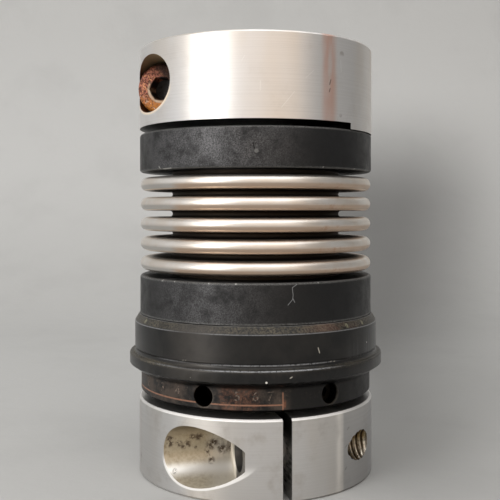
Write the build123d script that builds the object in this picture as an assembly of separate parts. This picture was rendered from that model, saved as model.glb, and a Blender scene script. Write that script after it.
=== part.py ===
"""Bellows coupling with a ball-detent torque limiter and two clamping hubs.

Millimetres, +Z up the shaft axis. The origin is the centre of the input hub's end face, on
which the part stands. Bearings round the axis are given in degrees from the front (-Y),
positive towards +X.
"""

import os
from math import cos, radians, sin, sqrt

from build123d import *

os.makedirs("parts", exist_ok=True)

# --- Driving dimensions ----------------------------------------------------------------

# Shaft and clamping hubs
hub_radius = 16.0
bore_radius = 6.0
fit_length = 16.0  # how far a shaft goes into each hub
input_ring_height = 10.1
output_ring_height = 10.7
relief_height = 0.8  # saw cut that frees a clamping ring from its neck
hub_edge = 0.25
bore_edge = 0.4
slit_width = 1.15

# Clamp screw (M4) across each slit
thread_radius = 2.0
screw_pass_radius = 2.25
counterbore_radius = 3.75
counterbore_wall = 0.65  # from the counterbore's outermost side to the hub's outside
head_radius = 3.4
head_height = 4.0
head_edge = 0.35
hex_across = 3.0
hex_depth = 2.2
screw_end_gap = 0.8  # the screw's end stays this far inside the hub's surface

input_slit_bearing = 14.0
input_head_side = -1  # the counterbore opens towards smaller bearings
input_seat_depth = 5.06  # counterbore floor from the slit's middle plane
output_slit_bearing = -102.5
output_head_side = 1
output_seat_depth = 2.4
output_relief_bearing = -60.0  # middle of the output hub's relief cut
relief_past_centre = 5.2  # how far a relief cut passes the shaft axis

# Input neck and limiter sleeve
neck_wall = 2.0
sleeve_wall = 2.0  # over the neck, to the outside of the thread
sleeve_bore_gap = 0.3  # between the shaft and the sleeve past the neck
carrier_over_web = 0.4
nose_wall = 1.2
shoulder_step = 0.7
nose_past_bearing = 1.2

# Adjusting nut
nut_inset = 0.25  # its outside lies this far inside the hub's
nut_height = 4.0
nut_edge = 0.3
spanner_holes = 6
spanner_hole_radius = 1.3
spanner_hole_level = 1.7  # above the nut's lower face
spanner_hole_depth = 3.6
first_hole_bearing = -24.0
lock_screw_sunk = 1.5
lock_hex_across = 1.27
lock_hex_depth = 1.2

# Thrust washer and disc springs
washer_thickness = 0.8
washer_inset = 0.85  # inside the nut's outside
spring_count = 3
spring_thickness = 0.4
spring_rise = 0.8
spring_inner_gap = 0.4
spring_inset = 0.1  # inside the washer's outside

# Detent balls and drive flange
ball_count = 6
ball_edge_wall = 0.8  # metal between a ball and each side of the flange it seats in
pocket_count = 12
ball_share_over_carrier = 0.4  # of its radius, that a seated ball stands over the carrier flange
groove_depth = 0.2  # ball groove in the switching ring's web
flange_over_carrier = 0.2
flange_thickness = 1.9
flange_inset = 1.4  # inside the hub's outside
lip_thickness = 0.8
lip_width = 1.0
spigot_wall = 0.68
spigot_past_bearing = 0.1

# Switching ring
ring_skirt_gap = 0.2
ring_skirt_wall = 0.65
ring_upper_wall = 1.3
ring_upper_gap = 0.2
ring_lip_width = 0.7
ring_lip_height = 1.45  # straight part of the lip
ring_lip_chamfer = 0.75
ring_lip_round = 0.3
ring_foot_wall = 0.3  # thickness of the skirt's lower edge
ring_flare = 0.7
ring_flare_width = 0.32
ring_top_chamfer = 0.6
ring_top_slope = 1.6  # height of the top chamfer for each unit of its width
ring_over_nut = 0.9  # how much of the nut the skirt covers
ring_to_flange = 0.1
web_under_groove = 1.1

# Bearing
bearing_section = 3.0  # from its bore to its outside
bearing_width = 4.0
race_gap = 1.1  # between the two rings
bearing_ball_radius = 0.79
bearing_ball_count = 14
cage_thickness = 0.5
cage_width = 2.4
race_edge = 0.15

# Retaining ring
clip_width = 0.6
clip_rise = 0.8  # how far it stands over the nose
clip_groove_depth = 0.4
clip_gap_angle = 40.0

# Bellows and its two mounting rings
convolutions = 5
crest_gap = 0.86  # between two crests
crest_thickness = 1.8
crest_inset = 0.15  # inside the hub's outside
bellows_wall = 0.25
first_crest_level = 1.6  # above the lower mounting ring
bellows_end_level = 1.66  # from the last crest to the upper mounting ring
collar_height = 5.1
lower_collar_inset = 0.1
upper_collar_inset = 0.05
collar_round = 0.35

# Clearances
slide_gap = 0.05
run_gap = 0.03
joint_gap = 0.02

# --- Radii worked out from the bore and the hub -------------------------------------------

screw_offset = hub_radius - counterbore_wall - counterbore_radius
neck_radius = bore_radius + neck_wall
sleeve_radius = neck_radius + sleeve_wall
sleeve_bore = bore_radius + sleeve_bore_gap
nose_radius = sleeve_bore + nose_wall
shoulder_radius = nose_radius + shoulder_step
nut_radius = hub_radius - nut_inset
washer_radius = nut_radius - washer_inset
spring_inner_radius = sleeve_radius + spring_inner_gap
spring_outer_radius = washer_radius - spring_inset
skirt_inner_radius = nut_radius + ring_skirt_gap
ring_radius = skirt_inner_radius + ring_skirt_wall
ring_lip_radius = ring_radius + ring_lip_width
ring_upper_radius = ring_radius - ring_upper_wall
carrier_radius = ring_upper_radius - ring_upper_gap
bearing_outer_radius = nose_radius + bearing_section
race_mid_radius = (nose_radius + bearing_outer_radius) / 2
seat_radius = bearing_outer_radius + joint_gap
lip_radius = bearing_outer_radius - lip_width
flange_radius = hub_radius - flange_inset
ball_circle = (sleeve_radius + flange_radius) / 2
ball_radius = (flange_radius - sleeve_radius) / 2 - ball_edge_wall
spigot_radius = seat_radius + spigot_wall
root_radius = spigot_radius + slide_gap + bellows_wall
crest_radius = hub_radius - crest_inset
lower_collar_radius = hub_radius - lower_collar_inset
upper_collar_radius = hub_radius - upper_collar_inset
collar_bore_radius = root_radius + slide_gap

# --- Levels worked out along the axis ----------------------------------------------------

nut_level = input_ring_height + relief_height
neck_level = fit_length
washer_level = nut_level + nut_height
spring_level = washer_level + washer_thickness
web_level = spring_level + spring_rise + spring_count * spring_thickness
groove_level = web_level + web_under_groove
web_top = groove_level + groove_depth
ball_level = groove_level + ball_radius
carrier_top = ball_level + ball_radius * (1 - ball_share_over_carrier)
carrier_level = web_top + carrier_over_web
flange_level = carrier_top + flange_over_carrier
bearing_level = flange_level + lip_thickness
bearing_top = bearing_level + bearing_width
nose_top = bearing_top + nose_past_bearing
ring_level = washer_level - ring_over_nut
ring_top = flange_level - ring_to_flange
collar_level = flange_level
collar_top = collar_level + collar_height
first_crest = collar_top + first_crest_level
pitch = crest_thickness + crest_gap
last_crest = first_crest + (convolutions - 1) * pitch
upper_collar_level = last_crest + bellows_end_level
upper_collar_top = upper_collar_level + collar_height
output_ring_level = upper_collar_top + relief_height
overall_length = output_ring_level + output_ring_height
output_spigot_level = overall_length - fit_length


# --- Helpers ------------------------------------------------------------------------------

def at_bearing(bearing, distance, level=0.0):
    """Point at a bearing and a distance from the axis."""
    turn = radians(bearing)
    return Vector(distance * sin(turn), -distance * cos(turn), level)


def tube(outer, inner, low, high):
    """Plain ring between two levels."""
    solid = rod(outer, Vector(0, 0, low), Vector(0, 0, 1), high - low)
    if inner:
        solid -= rod(inner, Vector(0, 0, low - 1), Vector(0, 0, 1), high - low + 2)
    return solid


def turned(*corners):
    """Solid turned from an outline of (radius, level) corners."""
    outline = make_face(Plane.XZ * Polyline(*corners, close=True))
    return revolve(outline, Axis.Z, 360)


def rod(radius, start, way, length):
    """Cylinder from a point along a direction."""
    return Plane(origin=start, z_dir=way) * Cylinder(
        radius, length, align=(Align.CENTER, Align.CENTER, Align.MIN)
    )


def hex_prism(across, start, way, length):
    """Hexagonal prism from a point along a direction."""
    outline = Plane(origin=start, z_dir=way) * RegularPolygon(across / sqrt(3), 6)
    return extrude(outline, length, dir=way)


def save(shape, node):
    """Write one piece to its own file."""
    shape.label = node
    export_step(shape, f"parts/{node}.step")


# --- Clamping hubs --------------------------------------------------------------------------

def clamp_cuts(slit_bearing, head_side, seat_depth, low, high):
    """The slit, counterbore, screw hole and tapped hole of one clamping ring."""
    out = at_bearing(slit_bearing, 1)
    across = at_bearing(slit_bearing + 90, 1) * head_side
    middle = out * screw_offset + Vector(0, 0, (low + high) / 2)
    slit = Pos(0, -hub_radius, (low + high) / 2) * Box(
        slit_width, 2 * hub_radius, high - low + relief_height
    )
    return [
        Rot(0, 0, slit_bearing) * slit,
        rod(counterbore_radius, middle + across * seat_depth, across, hub_radius),
        rod(screw_pass_radius, middle, across, hub_radius),
        rod(thread_radius, middle, across * -1, hub_radius),
    ]


def relief_cut(bearing, level):
    """Saw cut across a hub that stops past the shaft axis."""
    length = hub_radius + relief_past_centre + 1
    cut = Pos(0, relief_past_centre - length / 2, level + relief_height / 2) * Box(
        3 * hub_radius, length, relief_height
    )
    return Rot(0, 0, bearing) * cut


def lower_clamp_hub():
    hub = turned(
        (bore_radius, bore_edge),
        (bore_radius + bore_edge, 0),
        (hub_radius - hub_edge, 0),
        (hub_radius, hub_edge),
        (hub_radius, input_ring_height - hub_edge),
        (hub_radius - hub_edge, input_ring_height),
        (neck_radius, input_ring_height),
        (neck_radius, neck_level),
        (bore_radius, neck_level),
    )
    ring = (0, input_ring_height)
    for cut in clamp_cuts(input_slit_bearing, input_head_side, input_seat_depth, *ring):
        hub -= cut
    return hub - relief_cut(input_slit_bearing, input_ring_height)


def upper_clamp_hub():
    hub = turned(
        (bore_radius, output_spigot_level),
        (spigot_radius, output_spigot_level),
        (spigot_radius, upper_collar_top),
        (hub_radius, upper_collar_top),
        (hub_radius, overall_length - hub_edge),
        (hub_radius - hub_edge, overall_length),
        (bore_radius + bore_edge, overall_length),
        (bore_radius, overall_length - bore_edge),
    )
    ring = (output_ring_level, overall_length)
    for cut in clamp_cuts(output_slit_bearing, output_head_side, output_seat_depth, *ring):
        hub -= cut
    return hub - relief_cut(output_relief_bearing, upper_collar_top)


def upper_clamp_screw():
    """Socket-head screw seated on the counterbore's floor."""
    out = at_bearing(output_slit_bearing, 1)
    across = at_bearing(output_slit_bearing + 90, 1) * output_head_side
    level = (output_ring_level + overall_length) / 2
    seat = out * screw_offset + across * output_seat_depth + Vector(0, 0, level)
    reach = output_seat_depth + sqrt(hub_radius**2 - screw_offset**2) - thread_radius - screw_end_gap
    head = rod(head_radius, seat, across, head_height)
    head = chamfer(head.edges().sort_by(Axis(seat, across))[-1], head_edge)
    shank = rod(thread_radius - slide_gap, seat, across * -1, reach)
    socket = hex_prism(hex_across, seat + across * (head_height - hex_depth), across, hex_depth + 1)
    return head + shank - socket


# --- Torque limiter: input side ---------------------------------------------------------------

def limiter_sleeve():
    """Steel sleeve on the hub's neck: nut thread, ball carrier flange and bearing nose."""
    groove_bottom = nose_radius - clip_groove_depth
    sleeve = turned(
        (neck_radius + joint_gap, nut_level),
        (sleeve_radius, nut_level),
        (sleeve_radius, carrier_level),
        (carrier_radius, carrier_level),
        (carrier_radius, carrier_top),
        (shoulder_radius, carrier_top),
        (shoulder_radius, bearing_level),
        (nose_radius, bearing_level),
        (nose_radius, bearing_top),
        (groove_bottom, bearing_top),
        (groove_bottom, bearing_top + clip_width),
        (nose_radius, bearing_top + clip_width),
        (nose_radius, nose_top),
        (sleeve_bore, nose_top),
        (sleeve_bore, neck_level),
        (neck_radius + joint_gap, neck_level),
    )
    for turn in range(ball_count):
        spot = at_bearing(turn * 360 / ball_count, ball_circle, carrier_level - 1)
        sleeve -= rod(ball_radius + run_gap, spot, Vector(0, 0, 1), carrier_top - carrier_level + 2)
    return sleeve


def adjusting_nut():
    nut = turned(
        (sleeve_radius + run_gap, nut_level),
        (nut_radius - nut_edge, nut_level),
        (nut_radius, nut_level + nut_edge),
        (nut_radius, washer_level - nut_edge),
        (nut_radius - nut_edge, washer_level),
        (sleeve_radius + run_gap, washer_level),
    )
    for hole in range(spanner_holes):
        bearing = first_hole_bearing + hole * 360 / spanner_holes
        inward = at_bearing(bearing, -1)
        mouth = at_bearing(bearing, nut_radius, nut_level + spanner_hole_level)
        depth = spanner_hole_depth if hole != 1 else nut_radius - sleeve_radius
        nut -= rod(spanner_hole_radius, mouth - inward, inward, depth + 1)
    return nut


def nut_lock_screw():
    """Grub screw in one of the nut's holes, bearing on the sleeve's thread."""
    bearing = first_hole_bearing + 360 / spanner_holes
    inward = at_bearing(bearing, -1)
    face = at_bearing(bearing, nut_radius - lock_screw_sunk, nut_level + spanner_hole_level)
    length = nut_radius - lock_screw_sunk - sleeve_radius - 3 * slide_gap
    screw = rod(spanner_hole_radius - joint_gap, face, inward, length)
    return screw - hex_prism(lock_hex_across, face - inward, inward, lock_hex_depth + 1)


def thrust_washer():
    return tube(washer_radius, sleeve_radius + slide_gap, washer_level, spring_level)


def disc_spring(number):
    """One coned spring of the nested stack; its outer edge is down."""
    low = spring_level + number * spring_thickness
    return turned(
        (spring_outer_radius, low),
        (spring_outer_radius, low + spring_thickness),
        (spring_inner_radius, low + spring_thickness + spring_rise),
        (spring_inner_radius, low + spring_rise),
    )


def switch_ring():
    """Stepped ring that slides over the nut when the balls leave their pockets."""
    lip_low = ring_level + ring_lip_chamfer
    lip_high = lip_low + ring_lip_height
    flare_start = ring_radius + ring_flare_width
    foot = skirt_inner_radius + ring_foot_wall
    with BuildPart() as ring:
        with BuildSketch(Plane.XZ):
            with BuildLine():
                Polyline(
                    (skirt_inner_radius, web_level),
                    (skirt_inner_radius, ring_level),
                    (foot, ring_level),
                    (ring_lip_radius, lip_low),
                    (ring_lip_radius, lip_high - ring_lip_round),
                )
                JernArc((ring_lip_radius, lip_high - ring_lip_round), (0, 1), ring_lip_round, 90)
                Line((ring_lip_radius - ring_lip_round, lip_high), (flare_start, lip_high))
                flare_top = lip_high + ring_flare
                TangentArc((flare_start, lip_high), (ring_radius, flare_top), tangent=(-1, 0))
                Polyline(
                    (ring_radius, flare_top),
                    (ring_radius, ring_top - ring_top_slope * ring_top_chamfer),
                    (ring_radius - ring_top_chamfer, ring_top),
                    (ring_upper_radius, ring_top),
                    (ring_upper_radius, web_top),
                    (sleeve_radius + slide_gap, web_top),
                    (sleeve_radius + slide_gap, web_level),
                    (skirt_inner_radius, web_level),
                )
            make_face()
        revolve(axis=Axis.Z)
    groove = Pos(0, 0, ball_level) * Torus(ball_circle, ball_radius)
    return ring.part - groove


def detent_ball(number):
    return Pos(*at_bearing(number * 360 / ball_count, ball_circle, ball_level)) * Sphere(ball_radius)


# --- Bearing ------------------------------------------------------------------------------------

def race(inner, outer):
    """One bearing ring with its ball groove."""
    ring = tube(outer, inner, bearing_level, bearing_top)
    ring = chamfer(ring.edges().filter_by(GeomType.CIRCLE), race_edge)
    middle = bearing_level + bearing_width / 2
    return ring - Pos(0, 0, middle) * Torus(race_mid_radius, bearing_ball_radius + run_gap)


def bearing_ball_spots():
    middle = bearing_level + bearing_width / 2
    step = 360 / bearing_ball_count
    return [at_bearing(step * ball, race_mid_radius, middle) for ball in range(bearing_ball_count)]


def bearing_cage():
    middle = bearing_level + bearing_width / 2
    half = cage_thickness / 2
    low, high = middle - cage_width / 2, middle + cage_width / 2
    cage = tube(race_mid_radius + half, race_mid_radius - half, low, high)
    for spot in bearing_ball_spots():
        outward = Vector(spot.X, spot.Y, 0).normalized()
        cage -= rod(bearing_ball_radius + slide_gap, spot - outward, outward, 2)
    return cage


def bearing_balls():
    return Compound([Pos(*spot) * Sphere(bearing_ball_radius) for spot in bearing_ball_spots()])


def retaining_ring():
    """Snap ring in the nose's groove, open at one side."""
    low = bearing_top + joint_gap
    high = bearing_top + clip_width - joint_gap
    clip = tube(nose_radius + clip_rise, nose_radius - clip_groove_depth + joint_gap, low, high)
    wide = (nose_radius + clip_rise) * 2 * sin(radians(clip_gap_angle / 2))
    return clip - Pos(0, nose_radius, (low + high) / 2) * Box(wide, nose_radius, clip_width)


# --- Output side ----------------------------------------------------------------------------------

def drive_flange():
    """Flange with a pocket for each detent position, bearing seat and bellows spigot."""
    spigot_top = bearing_top + spigot_past_bearing
    flange = turned(
        (lip_radius, flange_level),
        (flange_radius, flange_level),
        (flange_radius, flange_level + flange_thickness),
        (spigot_radius, flange_level + flange_thickness),
        (spigot_radius, spigot_top),
        (seat_radius, spigot_top),
        (seat_radius, bearing_level),
        (lip_radius, bearing_level),
    )
    for pocket in range(pocket_count):
        spot = at_bearing(pocket * 360 / pocket_count, ball_circle, ball_level)
        flange -= Pos(*spot) * Sphere(ball_radius + run_gap)
    return flange


def lower_bellows_collar():
    """Black ring over the drive flange and the bellows' lower cuff."""
    flange_top = flange_level + flange_thickness + joint_gap
    collar = turned(
        (flange_radius + joint_gap, collar_level),
        (lower_collar_radius, collar_level),
        (lower_collar_radius, collar_top),
        (collar_bore_radius, collar_top),
        (collar_bore_radius, flange_top),
        (flange_radius + joint_gap, flange_top),
    )
    rim = collar.edges().filter_by(GeomType.CIRCLE).group_by(Axis.Z)[-1].sort_by(SortBy.RADIUS)[-1]
    return fillet(rim, collar_round)


def upper_bellows_collar():
    collar = tube(upper_collar_radius, collar_bore_radius, upper_collar_level, upper_collar_top)
    rims = [
        group.sort_by(SortBy.RADIUS)[-1]
        for group in collar.edges().filter_by(GeomType.CIRCLE).group_by(Axis.Z)
    ]
    return fillet(rims, collar_round)


def bellows():
    """Convoluted tube: round crests and roots joined by straight flanks, with a plain cuff each end."""
    crest_bend = crest_thickness / 2
    root_bend = crest_gap / 2
    crest_centre = crest_radius - crest_bend
    root_centre = root_radius + root_bend
    low_end = flange_level + flange_thickness + joint_gap
    high_end = upper_collar_top - joint_gap

    outward, inward, upward = (1, 0), (-1, 0), (0, 1)

    def side(offset):
        """Edges of the outer side (offset 0) or of the inner side (offset = wall), end to end."""
        crest = crest_bend - offset
        cuff = root_radius - offset
        edges = [Line((cuff, low_end), (cuff, first_crest - crest_bend - root_bend))]
        for turn in range(convolutions):
            level = first_crest + turn * pitch
            into_root = inward if turn else upward
            edges.append(TangentArc(edges[-1] @ 1, (root_centre, level - crest), tangent=into_root))
            edges.append(Line(edges[-1] @ 1, (crest_centre, level - crest)))
            edges.append(TangentArc(edges[-1] @ 1, (crest_centre, level + crest), tangent=outward))
            edges.append(Line(edges[-1] @ 1, (root_centre, level + crest)))
        above = last_crest + crest_bend + root_bend
        edges.append(TangentArc(edges[-1] @ 1, (cuff, above), tangent=inward))
        edges.append(Line(edges[-1] @ 1, (cuff, high_end)))
        return edges

    outside, inside = side(0), side(bellows_wall)
    ends = [Line(outside[0] @ 0, inside[0] @ 0), Line(outside[-1] @ 1, inside[-1] @ 1)]
    outline = make_face(Plane.XZ * Wire([*outside, *inside, *ends]))
    return revolve(outline, Axis.Z, 360)


# --- Build ------------------------------------------------------------------------------------------

save(lower_clamp_hub(), "lower_clamp_hub")
save(limiter_sleeve(), "limiter_sleeve")
save(adjusting_nut(), "adjusting_nut")
save(nut_lock_screw(), "nut_lock_screw")
save(thrust_washer(), "thrust_washer")
for spring in range(spring_count):
    save(disc_spring(spring), f"disc_spring_{spring + 1}")
save(switch_ring(), "switch_ring")
for ball in range(ball_count):
    save(detent_ball(ball), f"detent_ball_{ball + 1}")
save(race(nose_radius, race_mid_radius - race_gap / 2), "bearing_inner_ring")
save(race(race_mid_radius + race_gap / 2, bearing_outer_radius), "bearing_outer_ring")
save(bearing_cage(), "bearing_cage")
save(bearing_balls(), "bearing_balls")
save(retaining_ring(), "retaining_ring")
save(drive_flange(), "drive_flange")
save(lower_bellows_collar(), "lower_bellows_collar")
save(bellows(), "bellows")
save(upper_bellows_collar(), "upper_bellows_collar")
save(upper_clamp_hub(), "upper_clamp_hub")
save(upper_clamp_screw(), "upper_clamp_screw")
print("overall length", round(overall_length, 2))
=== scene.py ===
# Bellows coupling with a ball-detent torque limiter: its looks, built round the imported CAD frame.
# Metres, +Z up the shaft axis. A bearing round the axis is in degrees from the front, towards +X.

import math

import bmesh
import bpy
import numpy as np
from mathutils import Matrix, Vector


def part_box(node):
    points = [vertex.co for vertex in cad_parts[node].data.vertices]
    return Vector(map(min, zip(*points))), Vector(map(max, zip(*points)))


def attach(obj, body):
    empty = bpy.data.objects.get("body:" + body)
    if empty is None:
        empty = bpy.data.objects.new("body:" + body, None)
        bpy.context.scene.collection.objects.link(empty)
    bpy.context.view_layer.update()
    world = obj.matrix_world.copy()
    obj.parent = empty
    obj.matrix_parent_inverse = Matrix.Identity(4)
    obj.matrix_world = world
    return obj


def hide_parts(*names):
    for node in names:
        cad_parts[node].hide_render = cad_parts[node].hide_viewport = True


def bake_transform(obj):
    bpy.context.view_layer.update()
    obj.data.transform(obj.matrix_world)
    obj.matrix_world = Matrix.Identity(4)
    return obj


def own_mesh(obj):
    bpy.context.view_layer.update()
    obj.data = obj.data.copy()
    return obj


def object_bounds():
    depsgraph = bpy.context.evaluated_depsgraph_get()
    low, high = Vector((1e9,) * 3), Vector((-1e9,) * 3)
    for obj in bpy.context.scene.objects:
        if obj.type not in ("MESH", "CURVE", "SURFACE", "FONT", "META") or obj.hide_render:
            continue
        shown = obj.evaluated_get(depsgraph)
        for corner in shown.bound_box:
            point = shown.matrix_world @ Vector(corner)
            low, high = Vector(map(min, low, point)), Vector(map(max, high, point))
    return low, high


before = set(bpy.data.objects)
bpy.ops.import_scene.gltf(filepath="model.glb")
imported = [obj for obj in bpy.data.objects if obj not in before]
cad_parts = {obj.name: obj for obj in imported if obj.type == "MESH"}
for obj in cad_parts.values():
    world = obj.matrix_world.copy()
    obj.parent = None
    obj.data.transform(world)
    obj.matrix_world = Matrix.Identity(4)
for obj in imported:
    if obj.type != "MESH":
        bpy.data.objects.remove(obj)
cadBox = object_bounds()
millimetre = 0.001
print("frame loaded:", len(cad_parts), "CAD nodes")


class Value:
    # wraps an output socket; every operator adds one Math node
    def __init__(self, finish, socket):
        self.finish = finish
        self.socket = socket

    def maths(self, operation, *others):
        inputs = dict(enumerate((self, *others)))
        return self.finish.node("ShaderNodeMath", {"operation": operation}, inputs)

    def __add__(self, other):
        return self.maths("ADD", other)

    def __sub__(self, other):
        return self.maths("SUBTRACT", other)

    def __rsub__(self, other):
        return self * -1 + other

    def __mul__(self, other):
        return self.maths("MULTIPLY", other)

    def __pow__(self, other):
        return self.maths("POWER", other)

    def __abs__(self):
        return self.maths("ABSOLUTE")

    __radd__ = __add__
    __rmul__ = __mul__

    def rise(self, low, high, start=0.0, stop=1.0):
        # goes smoothly from start to stop while the value goes from low to high
        settings = {"interpolation_type": "SMOOTHSTEP", "clamp": True}
        limits = {0: self, 1: low, 2: high, 3: start, 4: stop}
        return self.finish.node("ShaderNodeMapRange", settings, limits)

    def between(self, low, high, soft):
        # 1 inside a band and 0 outside it, with soft edges
        return self.rise(low - soft, low + soft) * self.rise(high + soft, high - soft)


class Finish:
    # one procedural material on a Principled shader; places are read in millimetres in the object's frame
    def __init__(self, name, **constants):
        self.material = bpy.data.materials.new(name)
        self.material.use_nodes = True
        self.tree = self.material.node_tree
        self.shader = next(n for n in self.tree.nodes if n.type == "BSDF_PRINCIPLED")
        for socket, amount in constants.items():
            self.shader.inputs[socket.replace("_", " ")].default_value = amount
        place = self.node("ShaderNodeTexCoord", {}, {}, "Object")
        self.place = self.node("ShaderNodeVectorMath", {"operation": "SCALE"}, {0: place, 3: 1000.0})
        self.x, self.y, self.z = (self.node("ShaderNodeSeparateXYZ", {}, {0: self.place}, k)
                                  for k in range(3))
        self.bearing = self.x.maths("ARCTAN2", self.y * -1) * (180 / np.pi)
        self.radius = (self.x * self.x + self.y * self.y) ** 0.5

    def node(self, kind, settings, inputs, output=0):
        made = self.tree.nodes.new(kind)
        for name, setting in settings.items():
            setattr(made, name, setting)
        for key, given in inputs.items():
            if isinstance(given, Value):
                self.tree.links.new(given.socket, made.inputs[key])
            else:
                made.inputs[key].default_value = given
        return Value(self, made.outputs[output])

    def mix(self, mask, under, over):
        settings = {"data_type": "RGBA", "clamp_factor": True}
        colours = [c if isinstance(c, Value) else (*c, 1.0) for c in (under, over)]
        return self.node("ShaderNodeMix", settings, {0: mask, 6: colours[0], 7: colours[1]}, 2)

    def noise(self, grains, detail=3.0, roughness=0.55, shift=0.0):
        # cloudy noise, with so many grains to the millimetre along each axis
        sides = grains if isinstance(grains, tuple) else (grains,) * 3
        moved = self.node("ShaderNodeMapping", {}, {0: self.place, 1: (shift,) * 3, 3: sides})
        return self.node("ShaderNodeTexNoise", {}, {"Vector": moved, "Scale": 1.0, "Detail": detail,
                                                    "Roughness": roughness})

    def drawn(self, name):
        # a number kept at each point of the mesh
        return self.node("ShaderNodeAttribute", {"attribute_name": name}, {}, 2)

    def fromLine(self, point, way):
        # distance in millimetres from a straight line through a point
        moved = self.node("ShaderNodeVectorMath", {"operation": "SUBTRACT"}, {0: self.place, 1: point})
        across = self.node("ShaderNodeVectorMath", {"operation": "CROSS_PRODUCT"}, {0: moved, 1: way})
        return self.node("ShaderNodeVectorMath", {"operation": "LENGTH"}, {0: across}, 1)

    def along(self, point, way):
        # distance in millimetres along a direction from a point
        moved = self.node("ShaderNodeVectorMath", {"operation": "SUBTRACT"}, {0: self.place, 1: point})
        return self.node("ShaderNodeVectorMath", {"operation": "DOT_PRODUCT"}, {0: moved, 1: way}, 1)

    def stroke(self, radius, start, stop, width):
        # a straight mark on a cylinder between two (bearing, height) ends
        u0, v0 = np.radians(start[0]) * radius, start[1]
        u1, v1 = np.radians(stop[0]) * radius, stop[1]
        length = float(np.hypot(u1 - u0, v1 - v0))
        du, dv = (u1 - u0) / length, (v1 - v0) / length
        u = self.bearing * (np.pi / 180 * radius) - u0
        v = self.z - v0
        onward = u * du + v * dv
        aside = abs(u * dv - v * du)
        return aside.rise(width, width * 0.4) * onward.between(0, length, width)

    def dot(self, radius, spot, size):
        # a round mark on a cylinder at a (bearing, height) place
        u = (self.bearing - spot[0]) * (np.pi / 180 * radius)
        v = self.z - spot[1]
        return ((u * u + v * v) ** 0.5).rise(size, size * 0.6)

    def surface(self, colour=None, roughness=None, metallic=None, bumps=()):
        # bumps are (height, millimetres of relief) pairs, laid one over the other
        for socket, given in (("Base Color", colour), ("Roughness", roughness), ("Metallic", metallic)):
            if isinstance(given, Value):
                self.tree.links.new(given.socket, self.shader.inputs[socket])
            elif given is not None:
                self.shader.inputs[socket].default_value = given
        normal = None
        for height, relief in bumps:
            inputs = {"Strength": 1.0, "Distance": relief * millimetre, "Height": height}
            if normal:
                inputs["Normal"] = normal
            normal = self.node("ShaderNodeBump", {}, inputs)
        if normal:
            self.tree.links.new(normal.socket, self.shader.inputs["Normal"])
        return self.material


def dress(piece, material):
    piece.data.materials.clear()
    piece.data.materials.append(material)
    return piece


def atBearing(bearing, distance, level=0.0):
    turn = np.radians(bearing)
    return np.array([distance * np.sin(turn), -distance * np.cos(turn), level])


mergeDistance = 2e-6  # metres


def meshPiece(name, points, faces, smoothAngle=30.0):
    mesh = bpy.data.meshes.new(name)
    mesh.from_pydata(points.reshape(-1, 3), [], faces.reshape(-1, faces.shape[-1]))
    piece = bpy.data.objects.new(name, mesh)
    bpy.context.scene.collection.objects.link(piece)
    return tidied(piece, smoothAngle)


def tidied(piece, smoothAngle):
    # merges doubles, turns every face outwards and marks the edges that stay sharp
    smoothest = math.radians(smoothAngle)
    work = bmesh.new()
    work.from_mesh(piece.data)
    bmesh.ops.remove_doubles(work, verts=work.verts, dist=mergeDistance)
    bmesh.ops.dissolve_degenerate(work, edges=work.edges, dist=1e-6)
    bmesh.ops.recalc_face_normals(work, faces=work.faces)
    for face in work.faces:
        face.smooth = True
    for edge in work.edges:
        edge.smooth = len(edge.link_faces) == 2 and edge.calc_face_angle(0) < smoothest
    work.to_mesh(piece.data)
    work.free()
    return piece


def gridFaces(rows, columns, wrapRows, wrapColumns):
    # quads between neighbours of a grid of points, which may close on itself either way
    i = np.arange(rows if wrapRows else rows - 1)[:, None]
    j = np.arange(columns if wrapColumns else columns - 1)[None, :]
    a, b = i * columns, (i + 1) % rows * columns
    p, q = j, (j + 1) % columns
    return np.stack([a + p, b + p, b + q, a + q], axis=-1)


def lathe(name, profile, steps=288, smoothAngle=30.0):
    # a closed profile of (radius, height) points turned round the axis: (r sin t, -r cos t, z)
    turn = np.linspace(0, 2 * np.pi, steps, endpoint=False)[:, None]
    r, z = profile[:, 0][None], profile[:, 1][None]
    points = np.stack([r * np.sin(turn), -r * np.cos(turn), z + 0 * turn], axis=-1)
    return meshPiece(name, points, gridFaces(steps, len(profile), True, True), smoothAngle)


def trueNormals(piece, axes):
    # corners of faces that lie on a cylinder take the cylinder's own direction: the part of (place - axis
    # point) that is square to the axis, made unit length and turned to the face's side
    mesh = piece.data
    count = len(mesh.loops)
    normals = np.zeros(count * 3)
    mesh.corner_normals.foreach_get("vector", normals)
    normals = normals.reshape(-1, 3)
    corner = np.zeros(count, int)
    mesh.loops.foreach_get("vertex_index", corner)
    places = np.zeros(len(mesh.vertices) * 3)
    mesh.vertices.foreach_get("co", places)
    places = places.reshape(-1, 3)[corner] / millimetre
    faceNormals = np.zeros(len(mesh.polygons) * 3)
    mesh.polygons.foreach_get("normal", faceNormals)
    sizes = np.zeros(len(mesh.polygons), int)
    mesh.polygons.foreach_get("loop_total", sizes)
    faceNormals = np.repeat(faceNormals.reshape(-1, 3), sizes, axis=0)
    for point, way, radius in axes:
        apart = places - np.array(point)
        across = apart - (apart @ way)[:, None] * way
        distance = np.linalg.norm(across, axis=1)
        across = across / np.maximum(distance, 1e-6)[:, None]
        agree = (across * faceNormals).sum(1)
        on = (np.abs(distance - radius) < 0.02) & (np.abs(agree) > 0.99)
        normals[on] = across[on] * np.sign(agree[on])[:, None]
    mesh.normals_split_custom_set(normals)


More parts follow.
